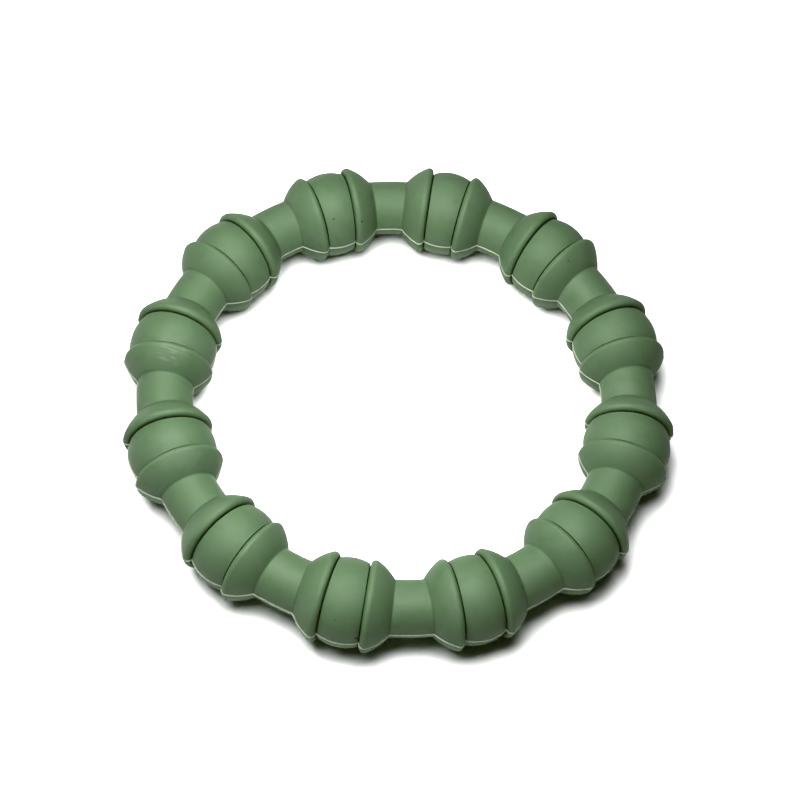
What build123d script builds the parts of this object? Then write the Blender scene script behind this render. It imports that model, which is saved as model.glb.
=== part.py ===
"""Teething ring: two silicone half mouldings, bonded at mid height around a stiff core ring.

The ring is a round tube with balls spaced evenly along it. Each ball sits between two flared collars,
and a plain neck joins one ball's collar to the next ball's. A narrow groove runs round the foot of
every lip, and the bond's edge stands proud all round, outside and inside.
Frame: origin on the resting plane below the ring's centre, +Z up, one ball centred on +X.
"""

import os
from math import atan2, cos, degrees, radians, sin, sqrt

from build123d import *

# Ring, in millimetres and degrees
ring_radius = 40.0  # from the ring's axis to the middle of the tube
bead_count = 12
neck_radius = 4.75

# Ball and its two collars
ball_radius = 7.45
band_width = 6.2  # of ball left bare between its two grooves, along the tube's centre
lip_rise = 0.2  # of the lips beyond the ball
lip_round = 0.8
collar_length = 4.4  # from the groove to the neck
flank_bend = 13  # degrees from the flank's straight chord to its tangent at the lip
flank_run_on = 8  # how far the flank's arc is carried on under the neck's surface
neck_fillet = 0.35
groove_width = 0.22
groove_depth = 0.4  # below the ball's surface

# Bond between the halves, and the core inside them
bond_thickness = 0.3
bond_proud = 0.15  # squeezed out past the silicone
core_radius = 2.0
core_clearance = 0.03

# Worked out from the sizes above
pitch_angle = 360 / bead_count
lip_radius = ball_radius + lip_rise
parting_height = lip_radius  # the ring rests on its lips
groove_angle = degrees(atan2(band_width / 2, ring_radius))
ball_radius_at_groove = sqrt(ball_radius**2 - (band_width / 2) ** 2)
channel_radius = core_radius + core_clearance
neck_start = band_width / 2 + collar_length / 2  # only a neck's edges lie further from a ball than this
mid_plane = Plane.XY.offset(parting_height)

# The lip's round stops where its tangent leads into the flank with the right bend; 30 steps settle it
lip_stop = radians(60)
for _ in range(30):
    drop = lip_radius - lip_round + lip_round * sin(lip_stop) - neck_radius
    run = collar_length - lip_round - lip_round * cos(lip_stop)
    lip_stop = radians(90 + flank_bend) - atan2(drop, run)


def collar_plane(side):
    """Parting plane at one groove of the ball on +X, with its x along the tube, away from the ball."""
    angle = radians(side * groove_angle)
    groove_middle = (ring_radius * cos(angle), ring_radius * sin(angle), parting_height)
    return Plane(groove_middle, x_dir=(-side * sin(angle), side * cos(angle), 0), z_dir=(0, 0, 1))


def groove_plane(side):
    """Plane square to the tube at one groove, facing away from the ball."""
    parting = collar_plane(side)
    return Plane(parting.origin, x_dir=(0, 0, 1), z_dir=parting.x_dir)


def collar_outline():
    """Half of a collar's outline, from the tube's axis out: rounded lip, then a flank bulging to the neck."""
    with BuildLine() as outline:
        lip = CenterArc((lip_round, lip_radius - lip_round), lip_round, 180, degrees(lip_stop) - 180)
        flank = TangentArc(lip @ 1, (collar_length, neck_radius), tangent=lip % 1, mode=Mode.PRIVATE)
        spokes = [(flank @ end) - flank.arc_center for end in (0, 1)]
        start_angle, end_angle = [degrees(atan2(spoke.Y, spoke.X)) for spoke in spokes]
        turn = end_angle - start_angle - flank_run_on
        long_flank = CenterArc(flank.arc_center, flank.radius, start_angle, turn)
        Polyline(long_flank @ 1, ((long_flank @ 1).X, 0), (0, 0), lip @ 0)
    return outline


# One ball with its collars and the half necks beside them, on +X
with BuildPart() as bead:
    with Locations((ring_radius, 0, parting_height)):
        Sphere(ball_radius)
    for side in (1, -1):
        split(bisect_by=groove_plane(side), keep=Keep.BOTTOM)
    with BuildSketch(Plane.XZ.rotated((0, 0, -pitch_angle / 2))):
        with Locations((ring_radius, parting_height)):
            Circle(neck_radius)
    revolve(axis=Axis.Z, revolution_arc=pitch_angle)
    for side in (1, -1):
        with BuildSketch(collar_plane(side)):
            make_face(collar_outline().edges())
        revolve(axis=Axis(collar_plane(side).origin, collar_plane(side).x_dir))
    junctions = bead.edges().filter_by(GeomType.BSPLINE)
    fillet(junctions.filter_by(lambda edge: abs(edge.center().Y) > neck_start), neck_fillet)
    for side in (1, -1):
        with BuildSketch(collar_plane(side)):
            with Locations((0, ball_radius_at_groove - groove_depth)):
                Rectangle(groove_width, lip_radius, align=(Align.MAX, Align.MIN))
        revolve(axis=Axis(collar_plane(side).origin, collar_plane(side).x_dir), mode=Mode.SUBTRACT)

# The whole ring before it is parted
with BuildPart() as whole_ring:
    with PolarLocations(0, bead_count):
        add(bead.part)

# The same outline grown by what the bond stands proud, as a flat shape
with BuildSketch() as proud_collar:
    make_face(collar_outline().edges())
    mirror(about=Plane.XZ)
    offset(amount=bond_proud)

with BuildSketch(mid_plane.offset(-bond_thickness / 2)) as bond_outline:
    Circle(ring_radius + neck_radius + bond_proud)
    Circle(ring_radius - neck_radius - bond_proud, mode=Mode.SUBTRACT)
    with PolarLocations(ring_radius, bead_count):
        Circle(ball_radius + bond_proud)
    for side in (1, -1):
        groove = collar_plane(side)
        with PolarLocations(0, bead_count):
            groove_middle, heading = (groove.origin.X, groove.origin.Y, 0), side * (90 + groove_angle)
            with Locations(Location(groove_middle, (0, 0, heading))):
                add(proud_collar.sketch)


# The pieces
with BuildPart() as upper_half:
    add(whole_ring.part)
    split(bisect_by=mid_plane.offset(bond_thickness / 2), keep=Keep.TOP)
    with Locations(mid_plane):
        Torus(ring_radius, channel_radius, mode=Mode.SUBTRACT)

with BuildPart() as lower_half:
    add(whole_ring.part)
    split(bisect_by=mid_plane.offset(-bond_thickness / 2), keep=Keep.BOTTOM)
    with Locations(mid_plane):
        Torus(ring_radius, channel_radius, mode=Mode.SUBTRACT)

with BuildPart() as core_ring:
    with Locations(mid_plane):
        Torus(ring_radius, core_radius)

with BuildPart() as outer_bond:
    with BuildSketch(mid_plane.offset(-bond_thickness / 2)):
        add(bond_outline.sketch)
        Circle(ring_radius + channel_radius, mode=Mode.SUBTRACT)
    extrude(amount=bond_thickness)

with BuildPart() as inner_bond:
    with BuildSketch(mid_plane.offset(-bond_thickness / 2)):
        add(bond_outline.sketch)
        Circle(ring_radius - channel_radius, mode=Mode.INTERSECT)
    extrude(amount=bond_thickness)

pieces = {
    "upper_half": upper_half,
    "lower_half": lower_half,
    "core_ring": core_ring,
    "outer_bond": outer_bond,
    "inner_bond": inner_bond,
}
os.makedirs("parts", exist_ok=True)
for name, piece in pieces.items():
    piece.part.label = name
    export_step(piece.part, f"parts/{name}.step")
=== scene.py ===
from math import asin, atan2, cos, hypot, pi, radians, sin, sqrt

import bmesh
import bpy
from mathutils import Matrix, Vector


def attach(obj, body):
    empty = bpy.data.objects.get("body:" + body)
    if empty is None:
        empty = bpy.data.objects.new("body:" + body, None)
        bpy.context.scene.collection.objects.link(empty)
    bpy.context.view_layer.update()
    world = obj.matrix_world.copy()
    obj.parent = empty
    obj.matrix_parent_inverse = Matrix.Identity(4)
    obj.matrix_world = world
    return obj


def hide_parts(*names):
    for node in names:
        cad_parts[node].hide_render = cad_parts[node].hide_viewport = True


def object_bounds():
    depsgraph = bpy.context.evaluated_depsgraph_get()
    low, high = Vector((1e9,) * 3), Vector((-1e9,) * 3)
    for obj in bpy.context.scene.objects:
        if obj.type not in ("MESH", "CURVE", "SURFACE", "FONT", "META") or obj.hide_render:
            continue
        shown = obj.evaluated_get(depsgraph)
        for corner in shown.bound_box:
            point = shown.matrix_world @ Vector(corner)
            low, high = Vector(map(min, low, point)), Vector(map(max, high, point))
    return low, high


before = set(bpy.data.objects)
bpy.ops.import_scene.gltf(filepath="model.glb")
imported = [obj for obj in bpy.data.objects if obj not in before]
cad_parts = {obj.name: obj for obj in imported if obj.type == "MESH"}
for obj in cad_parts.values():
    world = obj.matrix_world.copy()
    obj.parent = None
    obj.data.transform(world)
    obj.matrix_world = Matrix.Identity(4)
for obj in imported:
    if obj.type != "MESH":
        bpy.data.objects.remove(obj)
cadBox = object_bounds()
mm = 0.001
weldGap = 0.01 * mm  # closer points are joined
tinyAngle = 1e-7
print("loaded the packed ring:", ", ".join(sorted(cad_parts)))


def addNode(tree, kind, **settings):
    node = tree.nodes.new(kind)
    for name, value in settings.items():
        setattr(node, name, value)
    return node


def wire(tree, source, target):
    tree.links.new(source, target)


def fillSocket(tree, socket, value):
    # a link is wired in, and anything else becomes the socket's own value
    if isinstance(value, bpy.types.NodeSocket):
        wire(tree, value, socket)
    else:
        socket.default_value = value


def feed(tree, node, *values):
    for socket, value in zip(node.inputs, values):
        fillSocket(tree, socket, value)
    return node


def mathNode(tree, operation, *values):
    return feed(tree, addNode(tree, "ShaderNodeMath", operation=operation), *values).outputs[0]


def vectorMath(tree, operation, *values):
    node = feed(tree, addNode(tree, "ShaderNodeVectorMath", operation=operation), *values)
    return node.outputs["Value"] if operation in {"LENGTH", "DISTANCE", "DOT_PRODUCT"} else node.outputs[0]


def remap(tree, value, fromMin, fromMax, toMin=0.0, toMax=1.0, style="SMOOTHSTEP"):
    node = addNode(tree, "ShaderNodeMapRange", interpolation_type=style)
    return feed(tree, node, value, fromMin, fromMax, toMin, toMax).outputs[0]


def mixColour(tree, amount, first, second):
    node = addNode(tree, "ShaderNodeMix", data_type="RGBA")
    for number, value in ((0, amount), (6, first), (7, second)):  # the sockets that colours use
        fillSocket(tree, node.inputs[number], value)
    return node.outputs[2]


def noiseAt(tree, place, scale, detail=2.0):
    node = addNode(tree, "ShaderNodeTexNoise", noise_dimensions="3D")
    wire(tree, place, node.inputs["Vector"])
    fillSocket(tree, node.inputs["Scale"], scale)
    node.inputs["Detail"].default_value = detail
    return node.outputs[0]


def readSeparate(tree, vector):
    return feed(tree, addNode(tree, "ShaderNodeSeparateXYZ"), vector).outputs


def combine(tree, x, y, z):
    return feed(tree, addNode(tree, "ShaderNodeCombineXYZ"), x, y, z).outputs[0]


def makeGroup(name, kind, inputs, outputs):
    tree = bpy.data.node_groups.new(name, kind)
    for label, socketType, default in inputs:
        socket = tree.interface.new_socket(label, in_out="INPUT", socket_type=socketType)
        if default is not None:
            socket.default_value = default
    for label, socketType in outputs:
        tree.interface.new_socket(label, in_out="OUTPUT", socket_type=socketType)
    start = addNode(tree, "NodeGroupInput")
    end = addNode(tree, "NodeGroupOutput")
    return tree, start.outputs, end.inputs


def placeGroup(tree, group, values):
    # the values are kept under the names of the group's inputs
    node = addNode(tree, "ShaderNodeGroup", node_tree=group)
    for label, value in values.items():
        fillSocket(tree, node.inputs[label], value)
    return node.outputs


ring = {
    "ringRadius": 40.0 * mm,
    "beadCount": 12,
    "neckRadius": 4.75 * mm,
    "ballRadius": 7.45 * mm,
    "bandWidth": 6.2 * mm,  # of ball left bare between its two grooves
    "lipRadius": 7.65 * mm,
    "lipRound": 0.8 * mm,
    "lipTurn": 118.04,  # degrees that the lip turns before the flank takes over
    "collarLength": 4.4 * mm,
    "flankRunOn": 8,  # degrees of flank carried on under the neck
    "bondThickness": 0.3 * mm,
    "channelRadius": 2.03 * mm,
}
midHeight = (cadBox[0].z + cadBox[1].z) / 2
grooveTurn = atan2(ring["bandWidth"] / 2, ring["ringRadius"])
halfPitch = pi / ring["beadCount"]


def spread(first, last, count):
    return [first + (last - first) * step / (count - 1) for step in range(count)]


def collarOutline(lipSteps, flankSteps, runOnSteps):
    # (along the tube, out from its middle) from the lip's foot to just under the neck
    bend, top = ring["lipRound"], ring["lipRadius"] - ring["lipRound"]
    turns = spread(pi, pi - radians(ring["lipTurn"]), lipSteps)
    points = [(bend + bend * cos(t), top + bend * sin(t)) for t in turns]
    start, end = Vector(points[-1]), Vector((ring["collarLength"], ring["neckRadius"]))
    heading = Vector((sin(turns[-1]), -cos(turns[-1])))
    inward = Vector((heading.y, -heading.x))
    chord = end - start
    radius = chord.length_squared / (2 * chord.dot(inward))
    centre = start + inward * radius
    first = atan2(start.y - centre.y, start.x - centre.x)
    last = atan2(end.y - centre.y, end.x - centre.x)
    sweep = spread(first, last, flankSteps)[1:]
    step = -radians(ring["flankRunOn"]) / runOnSteps
    sweep += [last + step * (n + 1) for n in range(runOnSteps)]
    points += [(centre.x + radius * cos(t), centre.y + radius * sin(t)) for t in sweep]
    return points


halfLook = {
    "ballSteps": 12,
    "grooveWidth": 0.18 * mm,
    "grooveDepth": 0.22 * mm,
    "grooveRound": 0.05 * mm,  # on the ball's edge of the groove
    "wallLean": (0.004 * mm, 0.005 * mm),  # of the groove's outer wall, at its foot and at the lip
    "grooveCrease": 0.9,  # how strongly painted shade darkens the groove's two lower corners, out of 1
    "lipCrease": (0.6, 0.15),  # the same at the lip's foot, and what each step takes off it
    "lipSteps": 12,
    "flankSteps": 14,
    "runOnSteps": 7,
    "neckSteps": 6,
    "neckGap": 0.1 * mm,  # from the flank's end to the neck's first row
    "aroundSteps": 46,
    "footBlend": 0.40 * mm,  # how softly a flank runs into its neck
    "footShade": 0.30 * mm,  # reach of the painted shade line along that foot
    "edgeRound": 0.16 * mm,  # along the parting edge
    "edgeSteps": 3,
    "channelSteps": 12,
    "creaseAngle": 50,
}


def halfStations():
    # rows of (turn, centre, slide, reach, crease, onCollar), from a ball's middle to a neck's middle; crease
    # is the strength of painted shade there
    look, rows = halfLook, []
    ringRadius, ballRadius = ring["ringRadius"], ring["ballRadius"]
    bandEnd = grooveTurn - look["grooveWidth"] / ringRadius
    edge = look["grooveRound"]
    for turn in spread(0, bandEnd - edge / ringRadius, look["ballSteps"]):
        reach = sqrt(ballRadius**2 - (ringRadius * sin(turn)) ** 2)
        rows.append((turn, ringRadius * cos(turn), 0, reach, 0, False))
    turn, centre, _, reach = rows[-1][:4]
    for tilt in (30, 60, 90):  # degrees: the ball's edge rolls over into the groove
        rolledTurn = turn + edge * sin(radians(tilt)) / ringRadius
        rolledReach = reach - edge * (1 - cos(radians(tilt)))
        rows.append((rolledTurn, centre, 0, rolledReach, tilt / 180, False))
    bottom = sqrt(ballRadius**2 - (ring["bandWidth"] / 2) ** 2) - look["grooveDepth"]
    wallFoot, wallTop = look["wallLean"]
    rows.append((bandEnd, centre, 0, bottom + edge, look["grooveCrease"], False))
    rows.append(((bandEnd + grooveTurn) / 2, ringRadius, 0, bottom, 1, False))
    rows.append((grooveTurn, ringRadius, wallFoot, bottom + edge, look["grooveCrease"], True))
    outline = collarOutline(look["lipSteps"], look["flankSteps"], look["runOnSteps"])
    strongest, fade = look["lipCrease"]
    for number, (slide, reach) in enumerate(outline):
        rows.append((grooveTurn, ringRadius, slide + wallTop, reach, max(0, strongest - number * fade), True))
    neckStart = grooveTurn + (outline[-1][0] + look["neckGap"]) / (ringRadius - ring["neckRadius"])
    for turn in spread(neckStart, halfPitch, look["neckSteps"]):
        rows.append((turn, ringRadius, 0, ring["neckRadius"], 0, False))
    return rows


def softMax(a, b, blend):
    # the larger of the two, rounded over where they are closer than the blend
    near = max(blend - abs(a - b), 0) / blend
    return max(a, b) + near**3 * blend / 6


def ontoRing(turn, centre, slide, across, up):
    # a point of a section, stood in its plane round the ring
    out = centre + across
    return Vector((out * cos(turn) - slide * sin(turn), out * sin(turn) + slide * cos(turn), up))


def sectionPoints(station):
    # one closed section of the upper half, as (point, painted shade along the neck's foot)
    look, ringRadius = halfLook, ring["ringRadius"]
    turn, centre, slide, reach, _, onCollar = station
    halfBond, edge = ring["bondThickness"] / 2, look["edgeRound"]
    rise = asin((halfBond + edge) / reach)
    shape = []
    for n in range(look["edgeSteps"]):
        t = pi / 2 * n / look["edgeSteps"]
        shape.append((reach * cos(rise) - edge * (1 - sin(t)), halfBond + edge * (1 - cos(t))))
    around = [(reach * cos(a), reach * sin(a)) for a in spread(rise, pi - rise, look["aroundSteps"])]
    shape = shape + around + [(-a, u) for a, u in reversed(shape)]
    points = []
    for across, up in shape:
        p = ontoRing(turn, centre, slide, across, up)
        foot = 0.0
        if onCollar:  # a flank runs into the neck where it sinks below the neck's surface
            out = hypot(p.x, p.y)
            deep = hypot(out - ringRadius, up)
            grow = softMax(deep, ring["neckRadius"], look["footBlend"]) / deep
            p *= (ringRadius + (out - ringRadius) * grow) / out
            p.z = max(up * grow, halfBond) if up > halfBond + edge / 2 else up
            foot = max(0.0, 1 - abs(deep - ring["neckRadius"]) / look["footShade"])
        points.append((p, foot))
    flatTurn, channel = turn + atan2(slide, ringRadius), ring["channelRadius"]
    low = asin(halfBond / channel)
    for a in spread(pi - low, low, look["channelSteps"]):
        points.append((ontoRing(flatTurn, ringRadius, 0, channel * cos(a), channel * sin(a)), 0.0))
    return points


def makeHalfStretch(name):
    # half a pitch of the upper half, closed round its section and open at its two ends
    stations = halfStations()
    bm = bmesh.new()
    creaseLayer = bm.verts.layers.float.new("crease")
    footLayer = bm.verts.layers.float.new("foot")
    rows = []
    for station in stations:
        row = []
        for p, foot in sectionPoints(station):
            v = bm.verts.new(p)
            v[creaseLayer] = station[4]
            v[footLayer] = foot
            row.append(v)
        rows.append(row)
    for first, second in zip(rows, rows[1:]):
        for n in range(len(first)):
            m = (n + 1) % len(first)
            bm.faces.new((first[n], second[n], second[m], first[m]))
    mesh = bpy.data.meshes.new(name)
    bm.to_mesh(mesh)
    bm.free()
    return mesh


def buildRepeatTree():
    # mirrors half a pitch into a whole one, turns it over or not, lifts it and copies it round the ring
    tree, given, result = makeGroup("repeatRoundRing", "GeometryNodeTree", [
        ("Geometry", "NodeSocketGeometry", None), ("Beads", "NodeSocketInt", 12),
        ("Upside Down", "NodeSocketFloat", 1.0), ("Height", "NodeSocketFloat", 0.0),
        ("Finish", "NodeSocketMaterial", None),
    ], [("Geometry", "NodeSocketGeometry")])
    mirrored = addNode(tree, "GeometryNodeTransform")
    wire(tree, given["Geometry"], mirrored.inputs["Geometry"])
    mirrored.inputs["Scale"].default_value = (1, -1, 1)
    turned = addNode(tree, "GeometryNodeFlipFaces")
    wire(tree, mirrored.outputs[0], turned.inputs["Mesh"])
    bead = addNode(tree, "GeometryNodeJoinGeometry")
    wire(tree, given["Geometry"], bead.inputs[0])
    wire(tree, turned.outputs[0], bead.inputs[0])
    lift = combine(tree, 0.0, 0.0, given["Height"])
    flip = combine(tree, 1.0, 1.0, given["Upside Down"])
    placed = addNode(tree, "GeometryNodeTransform")
    wire(tree, bead.outputs[0], placed.inputs["Geometry"])
    wire(tree, lift, placed.inputs["Translation"])
    wire(tree, flip, placed.inputs["Scale"])
    places = addNode(tree, "GeometryNodePoints")
    wire(tree, given["Beads"], places.inputs["Count"])
    number = addNode(tree, "GeometryNodeInputIndex").outputs[0]
    turn = mathNode(tree, "DIVIDE", mathNode(tree, "MULTIPLY", number, 2 * pi), given["Beads"])
    spin = combine(tree, 0.0, 0.0, turn)
    copies = addNode(tree, "GeometryNodeInstanceOnPoints")
    wire(tree, places.outputs[0], copies.inputs["Points"])
    wire(tree, placed.outputs[0], copies.inputs["Instance"])
    wire(tree, spin, copies.inputs["Rotation"])
    real = addNode(tree, "GeometryNodeRealizeInstances")
    wire(tree, copies.outputs[0], real.inputs[0])
    finish = addNode(tree, "GeometryNodeSetMaterial")
    wire(tree, real.outputs[0], finish.inputs["Geometry"])
    wire(tree, given["Finish"], finish.inputs["Material"])
    wire(tree, finish.outputs[0], result["Geometry"])
    return tree


def runTree(mesh, tree, name, creaseAngle, values):
    # sets the tree's inputs by identifier, keeps its evaluated result as a plain mesh and welds the copies
    carrier = bpy.data.objects.new(name + "Carrier", mesh)
    bpy.context.scene.collection.objects.link(carrier)
    modifier = carrier.modifiers.new("made", "NODES")
    modifier.node_group = tree
    for item in tree.interface.items_tree:
        if item.item_type == "SOCKET" and item.in_out == "INPUT" and item.name in values:
            modifier[item.identifier] = values[item.name]
    bpy.context.view_layer.update()
    evaluated = carrier.evaluated_get(bpy.context.evaluated_depsgraph_get())
    plain = bpy.data.meshes.new_from_object(evaluated)
    carrier.modifiers.remove(modifier)
    bpy.data.objects.remove(carrier)
    plain.name = name
    bm = bmesh.new()
    bm.from_mesh(plain)
    bmesh.ops.remove_doubles(bm, verts=bm.verts, dist=weldGap)
    bmesh.ops.recalc_face_normals(bm, faces=bm.faces)
    for face in bm.faces:
        face.smooth = True
    bm.to_mesh(plain)
    bm.free()
    plain.set_sharp_from_angle(angle=radians(creaseAngle))
    piece = bpy.data.objects.new(name, plain)
    bpy.context.scene.collection.objects.link(piece)
    return piece


bondLook = {
    "thickness": 0.29 * mm,
    "proudOutside": 0.15 * mm,
    "proudInside": 0.07 * mm,
    "edgeSteps": 5,  # round its free edge
    "bridgeOver": 0.55,  # it runs straight past what is darkened more than this
    "foldLimit": 0.985,  # share of its width that a point must keep from the silicone
    "cornerPull": 0.5,  # how far a point moves to the middle of its two neighbours
    "creaseAngle": 60,
}


def bondOutline(side):
    # points of the silicone's edge over half a pitch, outside the ring (side 1) or inside it (side -1)
    points = []
    for turn, centre, slide, reach, crease, onCollar in halfStations():
        if crease > bondLook["bridgeOver"]:
            continue
        p = ontoRing(turn, centre, slide, side * reach, 0)
        deep = abs(hypot(p.x, p.y) - ring["ringRadius"])
        if onCollar:
            deep = softMax(deep, ring["neckRadius"], halfLook["footBlend"])
        points.append((atan2(p.y, p.x), ring["ringRadius"] + side * deep))
    points.sort()
    return points


def outsideOf(outline, gap):
    # the outline moved outwards by the gap, with what would fold over left out
    flat = [Vector((out * cos(turn), out * sin(turn))) for turn, out in outline]
    flat = [Vector((flat[1].x, -flat[1].y))] + flat
    last = Matrix.Rotation(2 * halfPitch, 2) @ Vector((flat[-2].x, -flat[-2].y))
    flat.append(last)
    side = 1 if outline[0][1] > ring["ringRadius"] else -1
    moved = []
    for before, here, after in zip(flat, flat[1:], flat[2:]):
        along = (after - before).normalized()
        moved.append(here + side * gap * Vector((along.y, -along.x)))
    kept = [p for p in moved if min((p - q).length for q in flat) > gap * bondLook["foldLimit"]]
    return [p for p in kept if -tinyAngle <= atan2(p.y, p.x) <= halfPitch + tinyAngle]


def makeBondStretch(name, side):
    # half a pitch of the bond's plate, from the core's channel to its proud, rounded edge
    look = bondLook
    half = look["thickness"] / 2
    edge = outsideOf(bondOutline(side), look["proudOutside"] if side > 0 else look["proudInside"])
    smooth, pull = [], look["cornerPull"]
    for n, p in enumerate(edge):  # takes the points off the inner corners
        near = edge[max(0, n - 1)], edge[min(len(edge) - 1, n + 1)]
        smooth.append(p if n in (0, len(edge) - 1) else p * (1 - pull) + (near[0] + near[1]) * pull / 2)
    first, last = smooth[0], smooth[-1]
    smooth[0] = Vector((first.length, 0))
    smooth[-1] = Vector((last.length * cos(halfPitch), last.length * sin(halfPitch)))
    bm = bmesh.new()
    rows = []
    for n, p in enumerate(smooth):
        before, after = smooth[max(0, n - 1)], smooth[min(len(smooth) - 1, n + 1)]
        along = (after - before).normalized()
        if n in (0, len(smooth) - 1):
            along = Vector((-p.y, p.x)).normalized()
        outward = side * Vector((along.y, -along.x))
        root = p.normalized() * (ring["ringRadius"] + side * ring["channelRadius"])
        shape = [(root, half)]
        for t in spread(pi / 2, -pi / 2, look["edgeSteps"]):
            shape.append((p - outward * half * (1 - cos(t)), half * sin(t)))
        shape.append((root, -half))
        rows.append([bm.verts.new((q.x, q.y, z)) for q, z in shape])
    for a, b in zip(rows, rows[1:]):
        for n in range(len(a)):
            m = (n + 1) % len(a)
            bm.faces.new((a[n], b[n], b[m], a[m]))
    mesh = bpy.data.meshes.new(name)
    bm.to_mesh(mesh)
    bm.free()
    return mesh


# where a cloud of noise starts and stops showing, and sizes as noise scales
effectLook = {
    "fineRatio": 4.3,  # how much finer the dark clouds are than the light ones
    "lightClouds": (0.5, 0.72),
    "darkClouds": (0.5, 0.74),
    "flowStretch": (160.0, 160.0, 1500.0),
    "sheenSize": 130.0,
    "sheenClouds": (0.48, 0.68),
    "shadeBreakSize": 900.0,
    "shadeBreakRange": (0.3, 0.7, 0.75, 1.0),
    "speckEdge": (0.03, 0.055),
    "wearSize": 3000.0,
    "wearRag": 0.5,  # how ragged a mark's edge is
    "wearEdge": (0.7, 1.2),
    "stripeStretch": (420.0, 2600.0, 900.0),
    "stripeClouds": (0.5, 0.62),
}


def buildDriftGroup():
    # slow wandering between a body colour, a lighter and a darker one
    look = effectLook
    tree, given, result = makeGroup("colourDrift", "ShaderNodeTree", [
        ("Place", "NodeSocketVector", None), ("Body", "NodeSocketColor", None),
        ("Light", "NodeSocketColor", None), ("Dark", "NodeSocketColor", None),
        ("Size", "NodeSocketFloat", 90.0), ("Strength", "NodeSocketFloat", 0.5),
    ], [("Colour", "NodeSocketColor"), ("Cloud", "NodeSocketFloat")])
    broad = noiseAt(tree, given["Place"], given["Size"], 3.0)
    fine = noiseAt(tree, given["Place"], mathNode(tree, "MULTIPLY", given["Size"], look["fineRatio"]), 4.0)
    up = mathNode(tree, "MULTIPLY", remap(tree, broad, *look["lightClouds"]), given["Strength"])
    down = mathNode(tree, "MULTIPLY", remap(tree, fine, *look["darkClouds"]), given["Strength"])
    lit = mixColour(tree, up, given["Body"], given["Light"])
    wire(tree, mixColour(tree, down, lit, given["Dark"]), result["Colour"])
    wire(tree, broad, result["Cloud"])
    return tree


def buildSkinGroup():
    # the fine texture a blasted mould leaves, with faint flow lines across the tube
    look = effectLook
    tree, given, result = makeGroup("mouldedSkin", "ShaderNodeTree", [
        ("Place", "NodeSocketVector", None), ("Grain Size", "NodeSocketFloat", 5200.0),
        ("Grain", "NodeSocketFloat", 0.5), ("Flow", "NodeSocketFloat", 0.3),
    ], [("Height", "NodeSocketFloat"), ("Sheen Mask", "NodeSocketFloat")])
    grain = noiseAt(tree, given["Place"], given["Grain Size"], 3.0)
    wave = noiseAt(tree, vectorMath(tree, "MULTIPLY", given["Place"], look["flowStretch"]), 1.0)
    mask = remap(tree, noiseAt(tree, given["Place"], look["sheenSize"]), *look["sheenClouds"])
    lines = mathNode(tree, "MULTIPLY", mathNode(tree, "MULTIPLY", wave, mask), given["Flow"])
    height = mathNode(tree, "ADD", mathNode(tree, "MULTIPLY", grain, given["Grain"]), lines)
    wire(tree, height, result["Height"])
    wire(tree, mask, result["Sheen Mask"])
    return tree


def buildShadeAndSpeckGroup():
    # painted shade in the creases, made uneven by noise, and a few dark specks in the skin
    look = effectLook
    tree, given, result = makeGroup("creaseShadeAndSpecks", "ShaderNodeTree", [
        ("Place", "NodeSocketVector", None), ("Crease", "NodeSocketFloat", 0.0),
        ("Speck Size", "NodeSocketFloat", 240.0), ("Speck Share", "NodeSocketFloat", 0.035),
    ], [("Crease Mask", "NodeSocketFloat"), ("Speck Mask", "NodeSocketFloat")])
    uneven = remap(tree, noiseAt(tree, given["Place"], look["shadeBreakSize"]), *look["shadeBreakRange"])
    wire(tree, mathNode(tree, "MULTIPLY", given["Crease"], uneven), result["Crease Mask"])
    specks = addNode(tree, "ShaderNodeTexVoronoi", voronoi_dimensions="3D", feature="F1")
    wire(tree, given["Place"], specks.inputs["Vector"])
    wire(tree, given["Speck Size"], specks.inputs["Scale"])
    dot = remap(tree, specks.outputs["Distance"], *look["speckEdge"], 1.0, 0.0)
    cell = readSeparate(tree, specks.outputs["Color"])
    chosen = mathNode(tree, "LESS_THAN", cell[0], given["Speck Share"])
    wire(tree, mathNode(tree, "MULTIPLY", dot, chosen), result["Speck Mask"])
    return tree


def buildWearGroup():
    # one ragged mark round a point, whole or broken up into stripes across the tube near the X axis
    look = effectLook
    tree, given, result = makeGroup("wearSpot", "ShaderNodeTree", [
        ("Place", "NodeSocketVector", None), ("Middle", "NodeSocketVector", None),
        ("Reach", "NodeSocketFloat", 0.0005), ("Strength", "NodeSocketFloat", 1.0),
        ("Stripes", "NodeSocketFloat", 0.0),
    ], [("Mask", "NodeSocketFloat")])
    apart = vectorMath(tree, "DISTANCE", given["Place"], given["Middle"])
    away = mathNode(tree, "DIVIDE", apart, given["Reach"])
    ragged = noiseAt(tree, given["Place"], look["wearSize"])
    rough = mathNode(tree, "ADD", away, mathNode(tree, "MULTIPLY", ragged, look["wearRag"]))
    inside = remap(tree, rough, *look["wearEdge"], 1.0, 0.0)
    band = noiseAt(tree, vectorMath(tree, "MULTIPLY", given["Place"], look["stripeStretch"]), 1.0)
    striped = mathNode(tree, "MULTIPLY", remap(tree, band, *look["stripeClouds"]), given["Stripes"])
    share = mathNode(tree, "ADD", striped, mathNode(tree, "SUBTRACT", 1.0, given["Stripes"]))
    mask = mathNode(tree, "MULTIPLY", mathNode(tree, "MULTIPLY", inside, share), given["Strength"])
    wire(tree, mask, result["Mask"])
    return tree


colourDrift = buildDriftGroup()
mouldedSkin = buildSkinGroup()
creaseShadeAndSpecks = buildShadeAndSpeckGroup()
wearSpot = buildWearGroup()
print("surface effects ready")


def startMaterial(name):
    material = bpy.data.materials.new(name)
    material.use_nodes = True
    tree = material.node_tree
    tree.nodes.clear()
    shader = addNode(tree, "ShaderNodeBsdfPrincipled")
    out = addNode(tree, "ShaderNodeOutputMaterial")
    wire(tree, shader.outputs[0], out.inputs["Surface"])
    place = addNode(tree, "ShaderNodeTexCoord").outputs["Object"]
    return material, tree, shader, place


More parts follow.
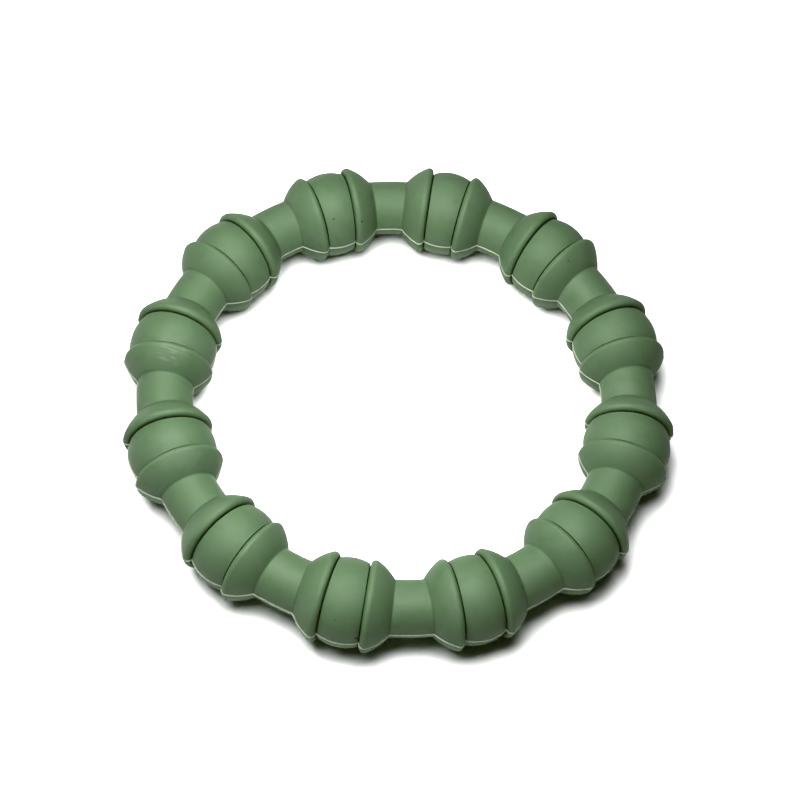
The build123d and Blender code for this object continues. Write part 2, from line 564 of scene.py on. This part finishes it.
def startFinish(name, look):
    # what every finish of the ring shares: its plain values, drifting colour and moulded skin
    material, tree, shader, place = startMaterial(name)
    for label, value in look["shader"].items():
        shader.inputs[label].default_value = value
    drift = placeGroup(tree, colourDrift, {"Place": place, "Body": look["body"], "Light": look["light"],
                                           "Dark": look["dark"], **look["drift"]})
    skin = placeGroup(tree, mouldedSkin, {"Place": place, **look["skin"]})
    bump = addNode(tree, "ShaderNodeBump")
    bump.inputs["Strength"].default_value = look["bumpStrength"]
    bump.inputs["Distance"].default_value = look["bumpHeight"]
    wire(tree, skin["Height"], bump.inputs["Height"])
    wire(tree, bump.outputs[0], shader.inputs["Normal"])
    return material, tree, shader, place, drift, skin


def roughen(tree, shader, look, source):
    rough = remap(tree, source, *look["clouds"], *look["roughness"], "LINEAR")
    wire(tree, rough, shader.inputs["Roughness"])


siliconeFinish = {
    "body": (0.077, 0.112, 0.068, 1),
    "light": (0.092, 0.123, 0.084, 1),
    "dark": (0.067, 0.103, 0.057, 1),
    # painted shade: the grooves, the lip's foot and the flanks' feet are darkened towards this colour
    "crease": (0.009, 0.038, 0.010, 1),
    "creaseRange": (0.25, 0.95),
    "footStrength": 0.35,  # of the same dark colour, painted along the flanks' feet as shade
    "speck": (0.016, 0.034, 0.014, 1),
    "scuff": (0.135, 0.150, 0.120, 1),
    "roughness": (0.60, 0.74),
    "clouds": (0.2, 0.7),  # of the noise that the roughness follows
    "sheenLoss": 0.25,
    "drift": {"Size": 95.0, "Strength": 0.55},
    "skin": {"Grain": 0.5, "Flow": 0.8},
    "bumpStrength": 0.35,
    "bumpHeight": 0.04 * mm,
    "shader": {"IOR": 1.41, "Specular IOR Level": 0.42, "Subsurface Weight": 0.25,
               "Subsurface Radius": (0.5, 1.0, 0.35), "Subsurface Scale": 1.0 * mm},
    # middle and reach in millimetres, and how strongly each shows
    "specks": [
        ((-18.6, 29.9, 13.2), 0.24, 0.7),
        ((-13.7, 31.2, 12.4), 0.26, 0.8),
        ((3.1, -46.6, 9.3), 0.42, 0.9),
        ((-0.7, -45.7, 12.4), 0.20, 0.5),
        ((23.1, 31.0, 14.4), 0.32, 0.4),
        ((23.6, 30.7, 14.5), 0.28, 0.5),
        ((24.1, 30.5, 14.4), 0.32, 0.35),
    ],
    "scuffs": [((-38.7, -4.7, 14.8), 3.6, 0.55)],
}


def addWear(tree, place, marks, under, colour, stripes):
    # lays each mark of a list over the colour below it
    for middle, reach, strength in marks:
        spot = placeGroup(tree, wearSpot, {"Place": place, "Middle": Vector(middle) * mm, "Reach": reach * mm,
                                           "Strength": strength, "Stripes": stripes})
        under = mixColour(tree, spot["Mask"], under, colour)
    return under


def makeSilicone():
    look = siliconeFinish
    material, tree, shader, place, drift, skin = startFinish("sageSilicone", look)
    # painted shade: the grooves and the lip's foot are darkened towards the crease colour
    crease = addNode(tree, "ShaderNodeAttribute", attribute_name="crease").outputs["Fac"]
    foot = addNode(tree, "ShaderNodeAttribute", attribute_name="foot").outputs["Fac"]
    shadeAndSpecks = placeGroup(tree, creaseShadeAndSpecks, {"Place": place, "Crease": crease})
    paintedCreaseShade = remap(tree, shadeAndSpecks["Crease Mask"], *look["creaseRange"])
    deep = mixColour(tree, paintedCreaseShade, drift["Colour"], look["crease"])
    # painted shade: a dark line along each flank's foot, where it runs into the neck
    footMask = mathNode(tree, "MULTIPLY", foot, look["footStrength"])
    shaded = mixColour(tree, footMask, deep, look["crease"])
    worn = addWear(tree, place, look["scuffs"], shaded, look["scuff"], 1.0)
    marked = addWear(tree, place, look["specks"], worn, look["speck"], 0.0)
    final = mixColour(tree, shadeAndSpecks["Speck Mask"], marked, look["speck"])
    wire(tree, final, shader.inputs["Base Color"])
    sheen = mathNode(tree, "MULTIPLY", skin["Sheen Mask"], look["sheenLoss"])
    roughen(tree, shader, look, mathNode(tree, "SUBTRACT", drift["Cloud"], sheen))
    return material


bondFinish = {
    "body": (0.245, 0.280, 0.212, 1),
    "light": (0.320, 0.355, 0.290, 1),
    "dark": (0.160, 0.192, 0.132, 1),
    "roughness": (0.38, 0.55),
    "clouds": (0.3, 0.7),
    "drift": {"Size": 260.0, "Strength": 0.7},
    "skin": {"Grain": 0.7, "Flow": 0.2, "Grain Size": 2600.0},
    "bumpStrength": 0.5,
    "bumpHeight": 0.05 * mm,
    "shader": {"IOR": 1.41, "Subsurface Weight": 0.35, "Subsurface Radius": (0.8, 1.0, 0.7),
               "Subsurface Scale": 0.4 * mm},
}


def makeBond():
    material, tree, shader, _, drift, _ = startFinish("paleBond", bondFinish)
    wire(tree, drift["Colour"], shader.inputs["Base Color"])
    roughen(tree, shader, bondFinish, drift["Cloud"])
    return material


coreFinish = {
    "body": (0.78, 0.76, 0.69, 1),
    "light": (0.84, 0.83, 0.78, 1),
    "dark": (0.70, 0.67, 0.58, 1),
    "roughness": (0.34, 0.48),
    "clouds": (0.3, 0.7),
    "drift": {"Size": 60.0, "Strength": 0.5},
    "skin": {"Grain": 0.25, "Flow": 0.5, "Grain Size": 3800.0},
    "bumpStrength": 0.3,
    "bumpHeight": 0.03 * mm,
    "shader": {"IOR": 1.53},
}


def makeCore():
    material, tree, shader, _, drift, _ = startFinish("nylonCore", coreFinish)
    wire(tree, drift["Colour"], shader.inputs["Base Color"])
    roughen(tree, shader, coreFinish, drift["Cloud"])
    return material


silicone, bond, core = makeSilicone(), makeBond(), makeCore()
print("finishes ready: silicone, bond, core")


repeatRoundRing = buildRepeatTree()

pieceList = [
    # name, mesh of half a pitch, 1 as made or -1 turned over, finish, node it stands for, slot, crease angle
    ("upperSilicone", makeHalfStretch("upperStretch"), 1.0, silicone, "upper_half", "sage_silicone",
     halfLook["creaseAngle"]),
    ("lowerSilicone", makeHalfStretch("lowerStretch"), -1.0, silicone, "lower_half", "sage_silicone",
     halfLook["creaseAngle"]),
    ("outerBondEdge", makeBondStretch("outerStretch", 1), 1.0, bond, "outer_bond", "pale_bond",
     bondLook["creaseAngle"]),
    ("innerBondEdge", makeBondStretch("innerStretch", -1), 1.0, bond, "inner_bond", "pale_bond",
     bondLook["creaseAngle"]),
]
for name, stretch, overturn, finish, node, slotName, creaseAngle in pieceList:
    piece = runTree(stretch, repeatRoundRing, name, creaseAngle, {
        "Beads": ring["beadCount"], "Upside Down": overturn, "Height": midHeight, "Finish": finish,
    })
    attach(piece, "root")
    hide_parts(node)
    print(name, "made,", len(piece.data.polygons), "faces")

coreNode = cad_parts["core_ring"]
coreNode.data.materials.clear()
coreNode.data.materials.append(core)


studio = {
    "floorSize": 3.0,
    "floorColour": (0.93, 0.93, 0.925, 1),
    "floorLight": (0.94, 0.94, 0.94, 1),
    "floorDark": (0.91, 0.91, 0.91, 1),
    "floorDrift": {"Size": 3.0, "Strength": 0.3},
    "floorRoughness": 0.7,
    "backdrop": 1.0,
    "sideFill": 0.10,  # light from low down all round, as from a tent's walls
    "fillTop": (0.35, 0.60),  # sine of the height at which it fades out
    "floorGlow": (0.09, 0.22),  # metres out over which the floor turns plain white
    "boxSize": 0.14,
    "boxPower": 0.755,
    "boxPlace": (-0.029, -0.016, 0.18),
    "contrast": "Very High Contrast",
    "warmShadows": ((0.04, 0.030), (0.09, 0.088), (0.30, 0.30)),  # the blue of dark tones, before and after
}


def makeFloor():
    look = studio
    bm = bmesh.new()
    bmesh.ops.create_grid(bm, x_segments=4, y_segments=4, size=look["floorSize"] / 2)
    mesh = bpy.data.meshes.new("floor")
    bm.to_mesh(mesh)
    bm.free()
    floor = bpy.data.objects.new("floor", mesh)
    bpy.context.scene.collection.objects.link(floor)
    material, tree, shader, place = startMaterial("paleFloor")
    drift = placeGroup(tree, colourDrift, {
        "Place": place, "Body": look["floorColour"], "Light": look["floorLight"], "Dark": look["floorDark"],
        **look["floorDrift"],
    })
    wire(tree, drift["Colour"], shader.inputs["Base Color"])
    shader.inputs["Roughness"].default_value = look["floorRoughness"]
    shader.inputs["Emission Color"].default_value = (1, 1, 1, 1)
    glow = remap(tree, vectorMath(tree, "LENGTH", place), *look["floorGlow"])
    wire(tree, glow, shader.inputs["Emission Strength"])
    mesh.materials.append(material)


def makeLights():
    scene = bpy.context.scene
    world = bpy.data.worlds.new("studioWorld")
    world.use_nodes = True
    tree = world.node_tree
    shade = tree.nodes["Background"]
    shade.inputs["Color"].default_value = (1, 1, 1, 1)
    height = readSeparate(tree, addNode(tree, "ShaderNodeTexCoord").outputs["Generated"])[2]
    fill = remap(tree, height, *studio["fillTop"], studio["sideFill"], 0.0)
    seen = addNode(tree, "ShaderNodeLightPath").outputs["Is Camera Ray"]
    wire(tree, remap(tree, seen, 0.0, 1.0, fill, studio["backdrop"], "LINEAR"), shade.inputs["Strength"])
    scene.world = world
    light = bpy.data.lights.new("softbox", "AREA")
    light.shape = "SQUARE"
    light.size = studio["boxSize"]
    light.energy = studio["boxPower"]
    box = bpy.data.objects.new("softbox", light)
    box.location = studio["boxPlace"]
    box.rotation_mode = "QUATERNION"
    box.rotation_quaternion = (-Vector(studio["boxPlace"])).to_track_quat("-Z", "Y")
    scene.collection.objects.link(box)


view = {
    "distance": 378.59 * mm,
    "elevation": 59.23,  # degrees above the floor
    "turn": 6.61,  # round the ring, off the line between two balls
    "roll": 6.56,
    "aimTurn": -0.0495,  # degrees off the ring's centre, sideways and up
    "aimTilt": -0.0578,
    "lens": 98.88,
    "sensor": 36.0,
    "clip": (0.01, 20.0),  # metres between which it sees
}


def makeCamera():
    e, roll = radians(view["elevation"]), radians(view["roll"])
    turn = Matrix.Rotation(radians(view["turn"]), 3, "Z")
    back = turn @ Vector((0, -cos(e), sin(e)))
    right = turn @ Vector((1, 0, 0))
    up = back.cross(right)
    aside = Matrix.Rotation(radians(view["aimTurn"]), 3, up)
    outward, right = aside @ back, aside @ right
    tip = Matrix.Rotation(radians(view["aimTilt"]), 3, right)
    facing, up = tip @ outward, tip @ up
    rolledRight = right * cos(roll) + up * sin(roll)
    rolledUp = up * cos(roll) - right * sin(roll)
    data = bpy.data.cameras.new("camera")
    data.lens = view["lens"]
    data.sensor_width = view["sensor"]
    data.clip_start, data.clip_end = view["clip"]
    camera = bpy.data.objects.new("camera", data)
    basis = Matrix((rolledRight, rolledUp, facing)).transposed()
    stand = Vector((0, 0, midHeight)) + back * view["distance"]
    camera.matrix_world = Matrix.Translation(stand) @ basis.to_4x4()
    bpy.context.scene.collection.objects.link(camera)
    bpy.context.scene.camera = camera


def gradePicture():
    settings = bpy.context.scene.view_settings
    settings.view_transform = "Standard"
    settings.look = studio["contrast"]
    settings.use_curve_mapping = True
    blue = settings.curve_mapping.curves[2]  # after red and green
    for before, after in studio["warmShadows"]:
        blue.points.new(before, after)
    settings.curve_mapping.update()


makeFloor()
makeLights()
makeCamera()
gradePicture()
print("studio ready")
